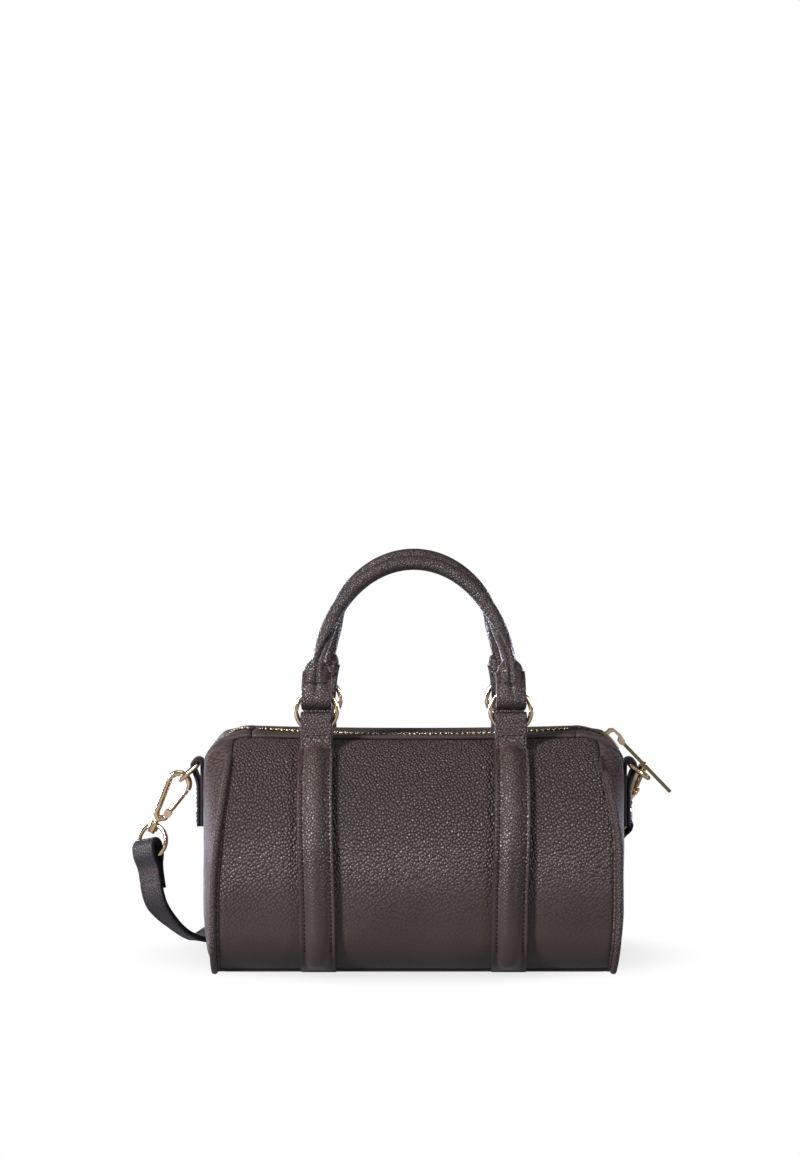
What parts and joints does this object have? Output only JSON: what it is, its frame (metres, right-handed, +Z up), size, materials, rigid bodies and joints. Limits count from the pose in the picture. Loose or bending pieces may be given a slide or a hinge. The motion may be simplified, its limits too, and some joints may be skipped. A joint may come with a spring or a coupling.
{
  "type": "barrel bag",
  "caption": "Small barrel handbag in pebbled dark brown leather: rolled top handles on round rings, zip over the top, padded chapes, detachable shoulder strap on snap hooks.",
  "frame": {"origin": "middle of the base, on the surface the bag stands on", "axes": "+X along the bag to its right seen from the front, -Y to the front, +Z up"},
  "size_m": [0.2828, 0.1532, 0.2128],
  "materials": {
    "body_leather": "pebbled, semi-matte",
    "trim_leather": "pebbled, semi-matte",
    "strap_leather": "pebbled, semi-matte",
    "gold_metal": "polished pale gold",
    "zip_tape": "woven",
    "lining_cloth": "woven twill",
    "stiffener": "matte",
    "handle_core": "twisted cord",
    "tie_ribbon": "woven"
  },
  "bodies": {
    "bag": {"front_panel": "body_leather", "rear_panel": "body_leather", "base_panel": "body_leather", "left_end_panel": "body_leather", "right_end_panel": "body_leather", "left_corner_facings": "body_leather", "right_corner_facings": "body_leather", "left_end_piping": "trim_leather", "right_end_piping": "trim_leather", "left_tab": "trim_leather", "right_tab": "trim_leather", "front_left_chape": "trim_leather", "front_right_chape": "trim_leather", "rear_left_chape": "trim_leather", "rear_right_chape": "trim_leather", "strap_left_loop": "strap_leather", "strap_left_stretch": "strap_leather", "strap_hank": "strap_leather", "strap_right_stretch": "strap_leather", "strap_right_loop": "strap_leather", "left_corner_teeth": "gold_metal", "right_corner_teeth": "gold_metal", "zip_end_stops": "gold_metal", "tab_rivets": "gold_metal", "left_swivel_eye": "gold_metal", "right_swivel_eye": "gold_metal", "left_corner_tapes": "zip_tape", "right_corner_tapes": "zip_tape", "lining": "lining_cloth", "base_board": "stiffener", "strap_tie": "tie_ribbon"},
    "front_lip": {"front_lip_facing": "body_leather", "front_lip_tape": "zip_tape", "front_lip_teeth": "gold_metal"},
    "rear_lip": {"rear_lip_facing": "body_leather", "rear_lip_tape": "zip_tape", "rear_lip_teeth": "gold_metal"},
    "slider": {"zip_slider": "gold_metal"},
    "pull": {"zip_pull": "gold_metal"},
    "front_rings": {"front_left_chape_loop": "trim_leather", "front_right_chape_loop": "trim_leather", "front_left_ring": "gold_metal", "front_right_ring": "gold_metal"},
    "rear_rings": {"rear_left_chape_loop": "trim_leather", "rear_right_chape_loop": "trim_leather", "rear_left_ring": "gold_metal", "rear_right_ring": "gold_metal"},
    "front_grip": {"front_handle": "trim_leather", "front_handle_core": "handle_core"},
    "rear_grip": {"rear_handle": "trim_leather", "rear_handle_core": "handle_core"},
    "left_d": {"left_d_ring": "gold_metal"},
    "right_d": {"right_d_ring": "gold_metal"},
    "left_snap": {"left_hook": "gold_metal", "left_gate_pin": "gold_metal"},
    "right_snap": {"right_hook": "gold_metal", "right_gate_pin": "gold_metal"},
    "left_gate": {"left_hook_gate": "gold_metal"},
    "right_gate": {"right_hook_gate": "gold_metal"}
  },
  "joints": [
    {"name": "front_chape_fold", "type": "hinge", "parent": "bag", "child": "front_rings", "pos_m": [0, -0.03105, 0.11718], "axis": [1, 0, 0], "range_deg": [0, 95]},
    {"name": "front_handle_swing", "type": "hinge", "parent": "front_rings", "child": "front_grip", "pos_m": [0, -0.0275, 0.1419], "axis": [1, 0, 0], "range_deg": [-1, 33]},
    {"name": "rear_chape_fold", "type": "hinge", "parent": "bag", "child": "rear_rings", "pos_m": [0, 0.03105, 0.11718], "axis": [-1, 0, 0], "range_deg": [0, 95]},
    {"name": "rear_handle_swing", "type": "hinge", "parent": "rear_rings", "child": "rear_grip", "pos_m": [0, 0.0275, 0.1419], "axis": [-1, 0, 0], "range_deg": [-2, 21]},
    {"name": "front_lip_open", "type": "hinge", "parent": "bag", "child": "front_lip", "pos_m": [0, -0.016, 0.11575], "axis": [-1, 0, 0], "range_deg": [0, 75]},
    {"name": "rear_lip_open", "type": "hinge", "parent": "bag", "child": "rear_lip", "pos_m": [0, 0.016, 0.11575], "axis": [1, 0, 0], "range_deg": [0, 75]},
    {"name": "zip_slider_run", "type": "hinge", "parent": "bag", "child": "slider", "pos_m": [0.086, 0, 0.096], "axis": [0, 1, 0], "range_deg": [-36, 0]},
    {"name": "zip_pull_flip", "type": "hinge", "parent": "slider", "child": "pull", "pos_m": [0.1097, 0, 0.11209], "axis": [0, -1, 0], "range_deg": [0, 120]},
    {"name": "left_d_ring_swing", "type": "hinge", "parent": "bag", "child": "left_d", "pos_m": [-0.1138, 0, 0.1002], "axis": [0, -1, 0], "range_deg": [0, 5]},
    {"name": "right_d_ring_swing", "type": "hinge", "parent": "bag", "child": "right_d", "pos_m": [0.1138, 0, 0.1002], "axis": [0, 1, 0], "range_deg": [0, 8]},
    {"name": "left_hook_swivel", "type": "hinge", "parent": "bag", "child": "left_snap", "pos_m": [-0.13612, 0, 0.06936], "axis": [0.44, 0, 0.898], "range_deg": [-12, 12]},
    {"name": "right_hook_swivel", "type": "hinge", "parent": "bag", "child": "right_snap", "pos_m": [0.11543, 0.02402, 0.07652], "axis": [0.1233, -0.7017, 0.7017], "range_deg": [-4, 11]},
    {"name": "left_gate_open", "type": "hinge", "parent": "left_snap", "child": "left_gate", "pos_m": [-0.12961, 0, 0.07419], "axis": [0, -1, 0], "range_deg": [0, 22], "stiffness_Nm_per_rad": 0.02, "springref_deg": -5.73},
    {"name": "right_gate_open", "type": "hinge", "parent": "right_snap", "child": "right_gate", "pos_m": [0.11866, 0.02121, 0.0834], "axis": [0.768, -0.3804, -0.5153], "range_deg": [0, 22], "stiffness_Nm_per_rad": 0.02, "springref_deg": -5.73}
  ],
  "couplings": [
    {"joint": "rear_lip_open", "follows": "front_lip_open", "ratio": 1}
  ]
}
